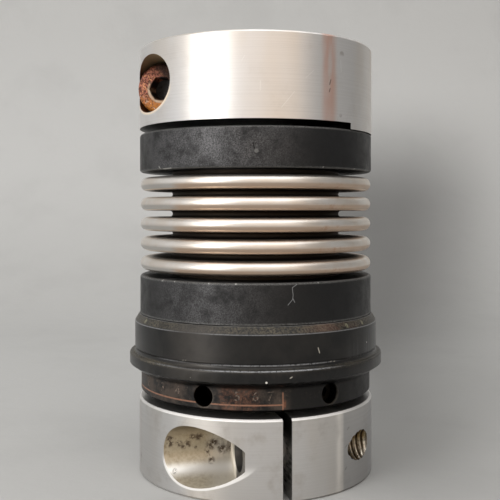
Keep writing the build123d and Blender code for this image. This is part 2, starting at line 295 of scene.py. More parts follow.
def refined(node, name, edge, body, sharpness=35.0, axes=()):
    # a smooth-shaded copy of a CAD node with its sharp edges broken, standing for the node
    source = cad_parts[node]
    piece = bpy.data.objects.new(name, source.data.copy())
    bpy.context.scene.collection.objects.link(piece)
    work = bmesh.new()
    work.from_mesh(piece.data)
    bmesh.ops.remove_doubles(work, verts=work.verts, dist=mergeDistance)
    bmesh.ops.dissolve_limit(work, angle_limit=np.radians(0.6), verts=work.verts, edges=work.edges)
    work.to_mesh(piece.data)
    work.free()
    if edge:
        bevel = piece.modifiers.new("brokenEdges", "BEVEL")
        bevel.width = edge * millimetre
        bevel.segments = 2
        bevel.limit_method = "ANGLE"
        bevel.angle_limit = np.radians(sharpness)
        bevel.use_clamp_overlap = True
        bevel.miter_outer = "MITER_ARC"
        evaluated = piece.evaluated_get(bpy.context.evaluated_depsgraph_get())
        bevelled = bpy.data.meshes.new_from_object(evaluated)
        piece.modifiers.clear()
        piece.data = bevelled
    tidied(piece, 28.0)
    if axes:
        trueNormals(piece, axes)
    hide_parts(node)
    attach(piece, body)
    return piece


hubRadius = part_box("lower_clamp_hub")[1].x / millimetre
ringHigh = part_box("switch_ring")[1].z / millimetre
lowCollar, highCollar = ([[v / millimetre for v in end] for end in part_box(node)]
                         for node in ("lower_bellows_collar", "upper_bellows_collar"))
overallHeight = cadBox[1].z / millimetre
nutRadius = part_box("adjusting_nut")[1].x / millimetre

inputScrew = {"bearing": 14.0, "side": -1, "offset": 11.6, "level": 5.05, "seat": 5.06, "wide": 3.75}
outputRelief = (highCollar[1][2], highCollar[1][2] + 0.8)
outputScrew = {"bearing": -102.5, "side": 1, "offset": 11.6, "level": overallHeight - 5.35, "wide": 3.75}
tappedRadius = 2.08  # the tapped hole and a little more
upright = np.array([0, 0, 1.0])


def screwLine(screw):
    # a point on a clamp screw's axis and the way its head leaves, in millimetres
    point = atBearing(screw["bearing"], screw["offset"], screw["level"])
    return point, atBearing(screw["bearing"] + 90, screw["side"])


hubLooks = {
    "aluminium": (0.87, 0.855, 0.84),
    "warm": (0.84, 0.79, 0.73),
    "tarnish": (0.46, 0.40, 0.33),
    "rustTint": (0.80, 0.50, 0.40),
    "edgeHighlight": (1.0, 0.985, 0.96),
    "black": (0.008, 0.007, 0.006),
    "roughness": 0.40,
}


def turnedAluminium(name, dull, marks):
    looks = hubLooks
    finish = Finish(name, Metallic=1.0)
    lines = finish.noise((0.02, 0.02, 9.0), 4.0, 0.7)
    broad = finish.noise((0.12, 0.12, 0.03), 2.0, 0.5, shift=4.0)
    cloud = finish.noise(0.35, 4.0, 0.6, shift=9.0)
    colour = finish.mix(broad.rise(0.42, 0.62), looks["aluminium"], looks["warm"])
    colour = finish.mix(lines.rise(0.35, 0.8) * 0.2, colour, (0.50, 0.47, 0.44))
    colour = finish.mix(cloud.rise(0.5, 0.8) * dull, colour, looks["tarnish"])
    sheen = looks["roughness"] - 0.08 * dull
    rough = lines.rise(0.3, 0.8, sheen - 0.04, sheen + 0.08) + cloud * (0.1 * dull)
    colour, rough, metal = marks(finish, colour, rough)
    return finish.surface(colour, rough, metal, bumps=[(lines, 0.004), (cloud, 0.01)])


def holeMasks(finish, screw):
    # 1 on the counterbore's wall and floor, and 1 on a painted highlight band round the lower side of its
    # mouth
    point, way = screwLine(screw)
    inHub = finish.radius.rise(hubRadius - 0.02, hubRadius - 0.09)
    fromAxis = finish.fromLine(point, way)
    outward = finish.along(point, way).rise(0.3, 0.8)
    inside = fromAxis.rise(screw["wide"] + 0.12, screw["wide"] + 0.04) * outward * inHub
    below = finish.z.rise(screw["level"] - 0.2, screw["level"] - 2.2)
    mouthHighlight = fromAxis.between(screw["wide"] - 0.1, screw["wide"] + 0.27, 0.06) * outward * below
    return inside, mouthHighlight * (1 - inside)


outputHubScratches = (
    ((22.4, 51.3), (26.4, 52.3), 0.05), ((11.2, 47.6), (17.2, 49.6), 0.045),
    ((42.0, 52.5), (41.6, 54.0), 0.09), ((2.0, 49.6), (2.1, 50.8), 0.06),
    ((-6.0, 53.2), (-4.6, 53.8), 0.05), ((-20.0, 48.0), (-12.0, 47.4), 0.03),
)
outputHubSpots = (
    ((41.6, 47.1), 0.34), ((42.4, 54.7), 0.5), ((39.6, 46.5), 0.14), ((44.6, 52.0), 0.16),
)
outputHubPits = (((35.6, 51.4), (34.8, 50.7), 0.12), ((35.2, 50.3), (34.6, 49.8), 0.11))


def outputHubMarks(finish, colour, rough):
    inside, mouthHighlight = holeMasks(finish, outputScrew)
    rust = finish.noise(1.6, 4.0, 0.65, shift=2.0)
    lines = finish.noise((0.3, 0.3, 3.0), 3.0, 0.6)
    upper = finish.z.rise(outputScrew["level"] + 1.7, outputScrew["level"] + 3.3)
    rusty = finish.mix(rust.rise(0.30, 0.7), (0.045, 0.022, 0.012), (0.22, 0.085, 0.028))
    rusty = finish.mix(upper * 0.9, rusty, (0.40, 0.31, 0.19))
    # painted shade inside the tapped hole at the screw's far end
    point, way = screwLine(outputScrew)
    tappedHoleShade = finish.fromLine(point, way).rise(tappedRadius + 0.08, tappedRadius)
    tappedHoleShade = tappedHoleShade * finish.along(point, way).rise(-5.0, -6.0)
    tappedHoleShade = tappedHoleShade * finish.radius.rise(hubRadius - 0.03, hubRadius - 0.15)
    colour = finish.mix(tappedHoleShade, colour, (0.035, 0.025, 0.018))
    colour = finish.mix(inside, colour, rusty)
    # painted highlight: a cream band on the lower side of the counterbore's mouth
    colour = finish.mix(mouthHighlight * 0.85, colour, (0.95, 0.80, 0.62))
    rough = rough + inside * 0.35
    # painted shade: the relief groove at the hub's foot is painted black
    reliefShade = finish.z.rise(outputRelief[1] + 0.05, outputRelief[1])
    reliefShade = reliefShade * finish.radius.rise(hubRadius, hubRadius - 0.1)
    colour = finish.mix(reliefShade, colour, hubLooks["black"])
    # painted shade: the top edge's chamfer is darkened from the front round to the right
    outer = finish.radius.rise(hubRadius - 0.14, hubRadius - 0.09)
    worn = finish.z.rise(overallHeight - 0.14, overallHeight - 0.08) * outer
    worn = worn * finish.bearing.rise(-4.0, 24.0) * finish.bearing.rise(150.0, 90.0)
    colour = finish.mix(worn * 0.75, colour, (0.36, 0.33, 0.30))
    stain = finish.bearing.between(31.2, 38.4, 2.2) * finish.noise((0.5, 0.5, 0.12), 3.0).rise(0.2, 0.65)
    stain = stain * finish.z.rise(44.0, 53.0, 0.55, 0.95) * finish.radius.rise(15.0, 15.8)
    colour = finish.mix(stain, colour, hubLooks["rustTint"])
    for start, stop, width in outputHubScratches:
        colour = finish.mix(finish.stroke(hubRadius, start, stop, width) * 0.75, colour, (0.98, 0.97, 0.95))
    for spot, size in outputHubSpots:
        smudge = finish.dot(hubRadius, spot, size) * lines.rise(0.35, 0.6) * 0.4
        colour = finish.mix(smudge, colour, (0.30, 0.25, 0.21))
    for start, stop, width in outputHubPits:
        colour = finish.mix(finish.stroke(hubRadius, start, stop, width) * 0.7, colour, (0.20, 0.11, 0.08))
    return colour, rough, 1 - mouthHighlight * 0.6


counterboreSpots = (
    # x, z and size of the dark spots on the counterbore's wall
    (-7.2, 6.5, 0.40), (-5.65, 5.3, 0.46), (-5.25, 5.65, 0.34), (-4.25, 4.7, 0.44), (-3.1, 4.8, 0.34),
    (-2.65, 4.6, 0.32), (-6.2, 4.5, 0.24), (-5.6, 3.45, 0.3), (-10.8, 6.5, 0.36), (-10.8, 5.8, 0.34),
    (-9.7, 5.75, 0.34), (-9.1, 5.3, 0.24), (-8.5, 5.7, 0.38), (-8.0, 6.6, 0.30), (-10.1, 2.6, 0.2),
    (-6.0, 4.0, 0.18), (-4.7, 5.1, 0.22), (-7.6, 5.1, 0.16),
)
inputHubStrokes = (
    # start, stop, width and strength of the dark marks round the hub; the long one at -81.5 is painted
    # shade along the hub's left edge
    ((-74.0, 1.4), (-71.0, 3.8), 0.30, 0.5), ((-81.5, 1.6), (-81.5, 9.0), 0.30, 0.9),
    ((46.0, 7.6), (47.6, 7.9), 0.14, 0.5), ((44.6, 5.4), (46.2, 5.8), 0.13, 0.4),
    ((44.4, 2.6), (45.8, 3.0), 0.16, 0.4), ((50.0, 6.0), (50.6, 5.4), 0.12, 0.35),
)
inputHubLooks = {
    "wear": (0.50, 0.495, 0.49),
    "shade": (0.31, 0.315, 0.33),
    "stripe": (39.4, 41.8),
    "stripeColour": (0.98, 0.94, 0.88),
    "stroke": (0.12, 0.11, 0.10),
    "wallLow": (0.62, 0.57, 0.46),
    "wallHigh": (0.50, 0.425, 0.30),
    "wallGrain": (0.36, 0.29, 0.19),
    "wallTip": (0.80, 0.77, 0.70),
    "wallTopShade": (0.15, 0.12, 0.075),
    "wallHighlight": (1.0, 0.98, 0.94),
    "streak": (0.12, 0.08, 0.05),
    "faint": (0.20, 0.14, 0.08),
    "spot": (0.065, 0.036, 0.020),
    "seatCream": (0.86, 0.82, 0.74),
    "seatDark": (0.11, 0.108, 0.105),
    "throughHoleShade": (0.06, 0.058, 0.055),
    "throughRadius": 2.3,
    "slitHalf": 0.56,
    "slitShade": (0.012, 0.011, 0.010),
    "slitReflection": (0.72, 0.70, 0.68),
    "rimLevel": (9.84, 10.2),
    "rimRadius": 15.66,
}


def inputHubMarks(finish, colour, rough):
    looks = inputHubLooks
    point, way = screwLine(inputScrew)
    level = inputScrew["level"]
    inside, mouthHighlight = holeMasks(finish, inputScrew)
    # grey wear over the whole hub, thinned where the lamp's highlight falls and heavier near the left edge,
    # so partly painted highlight and shade; painted shade to the right of the slit
    wear = 0.5 - finish.bearing.between(-35.0, -18.0, 9.0) * 0.5
    wear = wear + finish.bearing.rise(-44.0, -58.0) * finish.bearing.rise(-160.0, -110.0) * 0.2
    colour = finish.mix(wear, colour, looks["wear"])
    # painted shade to the right of the slit
    shade = finish.bearing.rise(42.8, 44.4) * finish.bearing.rise(130.0, 70.0)
    colour = finish.mix(shade * 0.52, colour, looks["shade"])
    stripe = finish.bearing.between(*looks["stripe"], 2.0)
    stripe = stripe * finish.radius.rise(hubRadius - 0.3, hubRadius - 0.1)
    stripe = stripe * finish.noise((0.6, 0.6, 0.25), 3.0, shift=11.0).rise(0.25, 0.6, 0.45, 1.0)
    colour = finish.mix(stripe * 0.7, colour, looks["stripeColour"])
    grit = finish.noise(1.5, 4.0, 0.7, shift=4.0).rise(0.34, 0.62)
    for start, stop, width, strength in inputHubStrokes:
        mark = finish.stroke(hubRadius, start, stop, width) * grit * strength
        colour = finish.mix(mark, colour, looks["stroke"])
    # the counterbore: olive above with painted shade at its top, a painted highlight band low down, brown
    # spots and streaks
    upper = finish.z.rise(level - 1.9, level - 0.3)
    grain = finish.noise(1.8, 4.0, 0.7, shift=3.0)
    wall = finish.mix(upper, looks["wallLow"], looks["wallHigh"])
    wall = finish.mix(grain.rise(0.35, 0.7) * 0.6, wall, looks["wallGrain"])
    tip = finish.x.rise(-6.8, -4.2) * grain.rise(0.25, 0.5, 0.5, 1.0)
    wall = finish.mix(tip * 0.6, wall, looks["wallTip"])
    # painted shade at the top of the counterbore's wall
    wall = finish.mix(finish.z.rise(level + 0.9, level + 3.6) * 0.75, wall, looks["wallTopShade"])
    # painted highlight: a bright band low on the wall
    highlightBand = finish.z.between(level - 2.9, level - 1.9, 0.5)
    wall = finish.mix(highlightBand * 0.9, wall, looks["wallHighlight"])
    streaks = finish.noise((2.0, 0.5, 0.5), 3.0, 0.6, shift=1.5).rise(0.44, 0.6)
    streaks = streaks * upper * finish.x.rise(-5.2, -3.4)
    wall = finish.mix(streaks * 0.6, wall, looks["streak"])
    ragged = finish.noise(2.3, 4.0, 0.65, shift=6.0).rise(0.40, 0.56)
    faint = finish.noise(1.6, 3.0, 0.6, shift=8.0).rise(0.56, 0.70)
    faint = faint * finish.z.rise(level - 1.4, level - 0.2)
    wall = finish.mix(faint * 0.5, wall, looks["faint"])
    for x, z, size in counterboreSpots:
        aside, above = finish.x - x, finish.z - z
        apart = (aside * aside + above * above) ** 0.5
        spot = apart.rise(size * 1.9, size * 0.5) * ragged
        wall = finish.mix(spot * 0.9, wall, looks["spot"])
    colour = finish.mix(inside, colour, wall)
    rough = rough - inside * 0.06
    # the seat under the screw's head is cream, and dark on its outward side
    ahead, fromAxis = finish.along(point, way), finish.fromLine(point, way)
    seat = ahead.rise(inputScrew["seat"] + 0.22, inputScrew["seat"] + 0.12)
    seat = seat * fromAxis.rise(inputScrew["wide"] + 0.15, inputScrew["wide"] + 0.05) * ahead.rise(0.9, 1.2)
    seat = seat * finish.radius.rise(hubRadius - 0.02, hubRadius - 0.12)
    outer = finish.along(point, atBearing(inputScrew["bearing"], 1)).rise(-1.6, -0.9)
    colour = finish.mix(seat, colour, finish.mix(outer, looks["seatCream"], looks["seatDark"]))
    # painted shade inside the through hole and round its edge on the seat
    throughHoleShade = fromAxis.rise(looks["throughRadius"] + 0.25, looks["throughRadius"]) * inside
    colour = finish.mix(throughHoleShade * 0.9, colour, looks["throughHoleShade"])
    # the slit is painted dark where its shade falls, with a painted reflection lighter lower down
    slit = abs(finish.along((0, 0, 0), atBearing(inputScrew["bearing"] + 90, 1)))
    slit = slit.rise(looks["slitHalf"] + 0.06, looks["slitHalf"])
    slit = slit * finish.y.rise(0.0, -1.0) * finish.radius.rise(hubRadius - 0.05, hubRadius - 0.4)
    slitReflectionMask = finish.z.rise(8.2, 5.8) * finish.z.rise(0.0, 1.6, 0.35, 1.0)
    slitReflectionMask = slitReflectionMask * finish.noise((0.4, 0.4, 1.6), 3.0).rise(0.32, 0.6)
    colour = finish.mix(slit, colour, finish.mix(slitReflectionMask, looks["slitShade"], looks["slitReflection"]))
    # painted highlight along the top edge's chamfer, brightest at the front, added to the mouth's painted
    # highlight
    rim = finish.z.between(*looks["rimLevel"], 0.03)
    rim = rim * finish.radius.rise(looks["rimRadius"], looks["rimRadius"] + 0.06) * (1 - slit)
    edgeHighlight = rim * abs(finish.bearing).rise(62.0, 34.0, 0.45, 1.0) + mouthHighlight
    colour = finish.mix(edgeHighlight, colour, hubLooks["edgeHighlight"])
    return colour, rough, 1 - edgeHighlight * 0.75 - stripe * 0.25 - inside * 0.5


collarLooks = {
    "black": (0.0045, 0.0045, 0.0048),
    "worn": (0.150, 0.148, 0.152),
    "edge": (0.17, 0.17, 0.165),
    "fleck": (0.50, 0.50, 0.47),
    "roughness": 0.42,
    "grain": 6.5,  # grains to the millimetre
    # bearings where the grey grain starts, is full, is still full and ends, and its strength: wear, kept to
    # the lit side as a painted highlight
    "upperWornAndLit": (-72.0, -40.0, -14.0, 30.0, 1.0),
    "lowerWornAndLit": (-66.0, -34.0, -22.0, 20.0, 0.72),
}


def roughBlack(name, box, marks, worn):
    # cast black surface: grains that turn the light in patches, grey grain that is wear and partly a
    # painted highlight on the lit side, and bare grey along the outer edges that is partly a painted edge
    # highlight
    low, high, outer = box[0][2], box[1][2], box[1][0]
    finish = Finish(name, Specular_IOR_Level=0.34)
    grain = finish.noise(collarLooks["grain"], 5.0, 0.85)
    cloud = finish.noise(0.5, 4.0, 0.65, shift=5.0)
    leftStart, leftFull, rightFull, rightEnd, strength = worn
    # grey grain: wear, kept to the lit side by bearing as a painted highlight
    worn = grain.rise(0.36, 0.66) * cloud.rise(0.26, 0.58) * strength
    worn = worn * finish.bearing.rise(rightEnd, rightFull, 0.05, 1.0)
    worn = worn * finish.bearing.rise(leftStart, leftFull, 0.04, 1.0)
    # bare grey along the outer edges, partly a painted edge highlight
    rim = finish.z.rise(high - 0.35, high - 0.1) + finish.z.rise(low + 0.3, low + 0.05)
    rim = rim * finish.radius.rise(outer - 0.5, outer - 0.2) * grain.rise(0.40, 0.56) * 0.8
    colour = finish.mix(worn, collarLooks["black"], collarLooks["worn"])
    colour = finish.mix(rim, colour, collarLooks["edge"])
    colour = marks(finish, colour)
    rough = cloud.rise(0.3, 0.7, collarLooks["roughness"] + 0.1, collarLooks["roughness"] - 0.06)
    return finish.surface(colour, rough, metallic=worn * 0.7 + rim * 0.4, bumps=[(grain, 0.014)])


def upperCollarMarks(finish, colour):
    radius = highCollar[1][0]
    nick = finish.stroke(radius, (-0.9, 43.4), (-0.5, 42.6), 0.1)
    nick = nick + finish.stroke(radius, (-0.2, 43.2), (0.4, 43.4), 0.08)
    colour = finish.mix(nick * 0.9, colour, (0.002, 0.002, 0.002))
    low = highCollar[0][2]
    for start, stop, width in (((-50.2, low + 0.4), (-49.4, low + 0.1), 0.11),
                               ((-47.5, low + 0.05), (-41.5, low + 0.12), 0.08),
                               ((31.4, low + 0.15), (31.9, low + 0.15), 0.11),
                               ((52.2, low + 0.1), (52.9, low + 0.1), 0.10)):
        fleck = finish.stroke(radius, start, stop, width)
        colour = finish.mix(fleck * 0.75, colour, collarLooks["fleck"])
    return finish.mix(finish.dot(radius, (0.4, 42.4), 0.32) * 0.4, colour, (0.26, 0.26, 0.25))


def lowerCollarMarks(finish, colour):
    # a short fibre with a forked end
    radius = lowCollar[1][0]
    for start, stop in (((18.4, 26.3), (16.2, 25.9)), ((16.2, 25.9), (16.6, 25.0)),
                        ((16.6, 25.0), (16.4, 24.5)), ((16.4, 24.5), (14.2, 23.8)),
                        ((16.5, 24.6), (17.4, 24.1))):
        colour = finish.mix(finish.stroke(radius, start, stop, 0.055) * 0.6, colour, (0.32, 0.33, 0.34))
    for bearing, size in ((-48.0, 0.17), (-39.5, 0.12), (-8.6, 0.13), (-21.0, 0.1), (29.0, 0.1)):
        fleck = finish.dot(radius, (bearing, lowCollar[1][2] - 0.12), size)
        colour = finish.mix(fleck * 0.7, colour, collarLooks["fleck"])
    return colour


ringLooks = {
    "satin": (0.006, 0.006, 0.006),
    "rubbed": (0.022, 0.020, 0.018),
    "dust": (0.20, 0.175, 0.125),
    "edge": (0.42, 0.43, 0.45),
    "polishedSheen": (0.080, 0.074, 0.068),
    "stain": (0.16, 0.075, 0.05),
    "lichen": (0.30, 0.29, 0.19),
    "grain": (0.8, 0.78, 0.72),
    "fleck": (0.5, 0.47, 0.41),
    "underShade": (0.003, 0.003, 0.003),
    "roughness": 0.28,
    "undercut": 14.66,  # top of the lip's undercut side
    "ledge": (16.0, 16.5),  # heights of the lip's upper side
}
ringFlecks = (
    ((13.7, 15.28), (14.7, 15.46)), ((-32.8, 16.85), (-31.9, 16.95)), ((-31.2, 16.9), (-30.6, 17.0)),
    ((33.6, 16.7), (34.4, 16.74)), ((27.2, 18.6), (28.0, 17.9)), ((35.6, 16.66), (36.2, 16.7)),
)


def satinRing():
    looks = ringLooks
    finish = Finish("switchingRingSatin", Specular_IOR_Level=0.32)
    lines = finish.noise((0.03, 0.03, 8.0), 3.0, 0.6)
    cloud = finish.noise(0.3, 4.0, 0.6, shift=3.0)
    grit = finish.noise(4.2, 3.0, 0.7, shift=1.0)
    colour = finish.mix(cloud.rise(0.35, 0.75) * 0.6, looks["satin"], looks["rubbed"])
    ledge = finish.z.between(*looks["ledge"], 0.25) * finish.radius.rise(16.5, 16.8)
    chamfer = finish.z.rise(ringHigh - 1.0, ringHigh - 0.7)
    ledge = ledge * finish.bearing.rise(-10.0, -34.0, 0.5, 1.1)
    dusty = (ledge + chamfer * 0.8) * grit.rise(0.38, 0.62) * cloud.rise(0.3, 0.6, 0.4, 1.0)
    colour = finish.mix(dusty * 0.6, colour, looks["dust"])
    # painted highlight: a pale line along the chamfer's lower edge
    browHighlight = finish.z.between(ringHigh - 1.0, ringHigh - 0.9, 0.06) * grit.rise(0.3, 0.5, 0.4, 1.0)
    colour = finish.mix(browHighlight * 0.4, colour, looks["edge"])
    stain = chamfer * finish.bearing.between(24.0, 50.0, 8.0) * cloud.rise(0.3, 0.6) * 0.3
    colour = finish.mix(stain, colour, looks["stain"])
    for bearing in (-61.0, 44.5, 57.0):
        lichen = finish.dot(16.2, (bearing, ringHigh - 0.45), 0.34) * grit.rise(0.2, 0.7)
        colour = finish.mix(lichen * 0.6, colour, looks["lichen"])
    # bare steel along the lip's upper edge and the top of the ring; on the lip it is kept to the front,
    # partly a painted highlight
    rubbed = finish.z.between(16.08, 16.2, 0.07) * finish.radius.rise(16.9, 17.05)
    rubbed = rubbed + finish.z.between(16.62, 16.78, 0.06) * finish.radius.rise(16.75, 16.68)
    front = finish.bearing.rise(-52.0, -32.0) * finish.bearing.rise(42.0, 22.0)
    rubbed = rubbed * front * grit.rise(0.34, 0.52) + finish.z.rise(ringHigh - 0.08, ringHigh) * 0.25
    colour = finish.mix(rubbed * 0.85, colour, looks["edge"])
    for spot, size in (((4.3, 14.85), 0.16), ((-27.0, 15.1), 0.08), ((60.0, 18.2), 0.1)):
        colour = finish.mix(finish.dot(17.3, spot, size), colour, looks["grain"])
    for start, stop in ringFlecks:
        colour = finish.mix(finish.stroke(17.0, start, stop, 0.09) * 0.8, colour, looks["fleck"])
    under = finish.z.rise(looks["undercut"] + 0.12, looks["undercut"])  # painted shade under the lip
    colour = finish.mix(under, colour, looks["underShade"])
    # a rubbed patch on the front left that is partly a painted highlight
    polishAndSheen = finish.bearing.between(-37.0, -17.0, 10.0) * cloud.rise(0.25, 0.6, 0.6, 1.0) * (1 - under)
    colour = finish.mix(polishAndSheen * 0.8, colour, looks["polishedSheen"])
    rough = looks["roughness"] + dusty * 0.3 + lines * 0.05
    metal = (rubbed * 0.8 + under + polishAndSheen * 0.6).maths("MINIMUM", 1.0)
    return finish.surface(colour, rough, metal, bumps=[(lines, 0.005), (grit * dusty, 0.05)])


nutLooks = {
    "burnished": (0.060, 0.045, 0.036),
    "dark": (0.0060, 0.0054, 0.0050),
    "copper": (0.30, 0.150, 0.095),
    "rust": (0.22, 0.085, 0.045),
    "scaleLevel": 11.8,
    "scaleFrom": -76.0,
    "scaleTo": 12.1,
    "figureHeight": 1.15,
    "figures": {-62.0: "2", -48.0: "3", -38.0: "4", -8.0: "5", 0.0: "6", 6.5: "7"},
    "firstHole": -24.0,
    "holeLevel": 12.6,
    "holeRadius": 1.3,
}


def burnishedNut():
    looks = nutLooks
    finish = Finish("nutBurnished", Specular_IOR_Level=0.30)
    lines = finish.noise((0.05, 0.05, 9.0), 3.0, 0.6)
    cloud = finish.noise(0.45, 4.0, 0.65, shift=7.0)
    fine = finish.noise(2.6, 4.0, 0.7, shift=2.0)
    rubbedSide = finish.bearing.rise(17.0, 12.0) * finish.bearing.rise(-160.0, -110.0)
    colour = finish.mix(cloud.rise(0.38, 0.62) * rubbedSide, looks["dark"], looks["burnished"])
    colour = finish.mix(fine.rise(0.55, 0.75) * (0.15 + 0.4 * rubbedSide), colour, (0.16, 0.12, 0.09))
    onFace = finish.radius.rise(nutRadius - 0.08, nutRadius - 0.03)
    line = abs(finish.z - looks["scaleLevel"]).rise(0.13, 0.05) * onFace
    line = line * finish.bearing.between(looks["scaleFrom"], looks["scaleTo"], 0.4)
    line = line * fine.rise(0.3, 0.5, 0.4, 1.0)
    mark = finish.stroke(nutRadius, (looks["scaleTo"], 11.0), (looks["scaleTo"], 13.3), 0.13)
    rust = finish.dot(nutRadius, (-7.5, 12.5), 3.0) * fine.rise(0.36, 0.66) * cloud.rise(0.3, 0.5) * 0.6
    rust = rust + finish.stroke(nutRadius, (12.6, 11.4), (12.9, 12.3), 0.3) * fine.rise(0.35, 0.55)
    colour = finish.mix(rust * 0.8, colour, looks["rust"])
    colour = finish.mix(line * 0.9 + mark * 0.8, colour, looks["copper"])
    # painted shade under the ring and at the foot
    underShade = finish.z.rise(13.45, 14.0) + finish.z.rise(11.25, 11.1)
    colour = finish.mix(underShade * 0.95, colour, (0.003, 0.003, 0.003))
    # painted highlight on one side of each spanner hole's rim, fainter on the second hole
    for hole, paintedHighlight in enumerate((0.9, 0.5)):
        place = (looks["firstHole"] + 60 * hole, looks["holeLevel"])
        rim = finish.dot(nutRadius, place, looks["holeRadius"] + 0.3)
        rim = rim * (1 - finish.dot(nutRadius, place, looks["holeRadius"] + 0.1))
        slant = place[0] - place[1] * 4
        rim = rim * (finish.bearing - finish.z * 4).rise(slant - 3, slant + 6)
        colour = finish.mix(rim * fine.rise(0.3, 0.5) * paintedHighlight, colour, (0.17, 0.15, 0.12))
    # painted shade inside the spanner holes
    spannerHoleShade = finish.radius.rise(nutRadius - 0.12, nutRadius - 0.4) * finish.z.between(11.2, 14.0, 0.1)
    colour = finish.mix(spannerHoleShade, colour, (0.004, 0.003, 0.003))
    rough = cloud.rise(0.3, 0.7, 0.38, 0.55)
    metal = (underShade + spannerHoleShade).maths("MINIMUM", 1.0)
    return finish.surface(colour, rough, metal, bumps=[(lines, 0.006), (line + mark, -0.02)])


def nutFigures(body):
    # plain figures laid on the nut's cylinder: each flat outline is rolled round the axis
    radius = nutRadius * millimetre
    finish = Finish("nutFigure", Metallic=0.3, Roughness=0.5)
    wear = finish.noise(3.0, 4.0, 0.7)
    material = finish.surface(finish.mix(wear.rise(0.42, 0.6), (0.030, 0.025, 0.021), (0.20, 0.15, 0.12)))
    for bearing, figure in nutLooks["figures"].items():
        curve = bpy.data.curves.new("nutFigure" + figure, "FONT")
        curve.body = figure
        curve.size = nutLooks["figureHeight"] * 1.4 * millimetre
        curve.extrude = 0.012 * millimetre
        curve.resolution_u = 4
        curve.align_x = "CENTER"
        text = bpy.data.objects.new("textSource", curve)
        bpy.context.scene.collection.objects.link(text)
        mesh = bpy.data.meshes.new_from_object(text.evaluated_get(bpy.context.evaluated_depsgraph_get()))
        bpy.data.objects.remove(text)
        flat = np.zeros(len(mesh.vertices) * 3)
        mesh.vertices.foreach_get("co", flat)
        u, v, w = flat.reshape(-1, 3).T
        turn = np.radians(bearing) + u / radius
        out = radius + w
        level = (nutLooks["scaleLevel"] + 0.55) * millimetre + v
        rolled = np.stack([out * np.sin(turn), -out * np.cos(turn), level], axis=-1)
        mesh.vertices.foreach_set("co", rolled.ravel())
        piece = bpy.data.objects.new("nutFigure" + figure, mesh)
        bpy.context.scene.collection.objects.link(piece)
        dress(tidied(piece, 40.0), material)
        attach(piece, body)


bellowsLooks = {
    "convolutions": 5,
    "crest": 1.8,
    "gap": 0.86,
    "wall": 0.25,
    "firstCrest": 28.1,
    "rootRadius": 11.5,
    "steel": (0.88, 0.84, 0.79),
    "heatTint": (0.80, 0.70, 0.60),
    "undersideReflection": (0.52, 0.37, 0.265),
    "greyReflection": (0.52, 0.50, 0.475),
    "lowerRimHighlight": (0.98, 0.84, 0.70),
    "rustTint": (0.46, 0.24, 0.14),
    "shade": (0.045, 0.032, 0.022),
    "roughness": 0.33,
}


def bellowsLine(offset, steps=14):
    # round crests and roots joined by straight flanks, at a distance inside the outer surface
    looks = bellowsLooks
    low, high = (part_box("bellows")[k].z / millimetre for k in (0, 1))
    crestBend, rootBend = looks["crest"] / 2, looks["gap"] / 2
    pitch = looks["crest"] + looks["gap"]
    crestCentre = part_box("bellows")[1].x / millimetre - crestBend
    rootCentre = looks["rootRadius"] + rootBend
    turn = np.radians(np.linspace(-90, 90, steps))
    root, crest = rootBend + offset, crestBend - offset
    rootArc = np.stack([rootCentre - root * np.cos(turn), root * np.sin(turn) - crestBend - rootBend], -1)
    crestArc = np.stack([crestCentre + crest * np.cos(turn), crest * np.sin(turn)], -1)
    one = np.concatenate([rootArc, crestArc])
    level = looks["firstCrest"] + np.arange(looks["convolutions"]) * pitch
    allTurns = one[None] + np.stack([0 * level, level], -1)[:, None]
    body = allTurns.reshape(-1, 2)[steps // 2:]  # the first root is a quarter turn up from the cuff
    lastRoot = rootArc[: steps // 2] + np.array([0, level[-1] + pitch])
    cuff = looks["rootRadius"] - offset
    return np.concatenate([[(cuff, low)], body, lastRoot, [(cuff, high)]])


def bellowsSkin():
    looks = bellowsLooks
    outer = bellowsLine(0.0)
    inner = bellowsLine(looks["wall"])[::-1]
    piece = lathe("bellowsSkin", np.concatenate([outer, inner]) * millimetre, 256)
    # each point keeps how far it lies below the middle of its crest, as a share of half the crest
    count = len(piece.data.vertices)
    places = np.zeros(count * 3)
    piece.data.vertices.foreach_get("co", places)
    level = places[2::3] / millimetre - looks["firstCrest"]
    pitch = looks["crest"] + looks["gap"]
    below = np.clip((np.round(level / pitch) * pitch - level) / (looks["crest"] / 2), 0, 1)
    piece.data.attributes.new("underside", "FLOAT", "POINT").data.foreach_set("value", below)
    finish = Finish("bellowsStainless", Metallic=1.0)
    lines = finish.noise((0.03, 0.03, 5.0), 3.0, 0.6)
    cloud = finish.noise(0.25, 3.0, 0.6, shift=8.0)
    # painted shade deep between the crests, which are also rougher there
    rootShade = finish.radius.rise(15.1, 13.4)
    under = finish.drawn("underside")
    colour = finish.mix(cloud.rise(0.35, 0.65) * 0.6, looks["steel"], looks["heatTint"])
    # painted reflection: the lower half of each crest is tinted warm brown, and grey on the left side
    warm = finish.bearing.rise(-44.0, -36.0) * finish.bearing.rise(150.0, 90.0)
    paintedReflection = finish.mix(warm, looks["greyReflection"], looks["undersideReflection"])
    colour = finish.mix(under.rise(-0.02, 0.34) * 0.85, colour, paintedReflection)
    rusty = finish.bearing.between(30.0, 44.0, 3.0) * finish.noise(1.2, 4.0, 0.7, shift=2.0).rise(0.46, 0.7)
    colour = finish.mix(rusty * under.rise(0.0, 0.3) * 0.6, colour, looks["rustTint"])
    # painted highlight: a thin light line low on each crest
    colour = finish.mix(under.between(0.80, 0.93, 0.05) * 0.8, colour, looks["lowerRimHighlight"])
    # painted shade in the roots
    colour = finish.mix(rootShade * 0.95, colour, looks["shade"])
    rough = lines.rise(0.3, 0.8, looks["roughness"], looks["roughness"] + 0.08)
    dress(piece, finish.surface(colour, rough + rootShade * 0.25, bumps=[(lines, 0.003)]))
    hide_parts("bellows")
    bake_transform(piece)


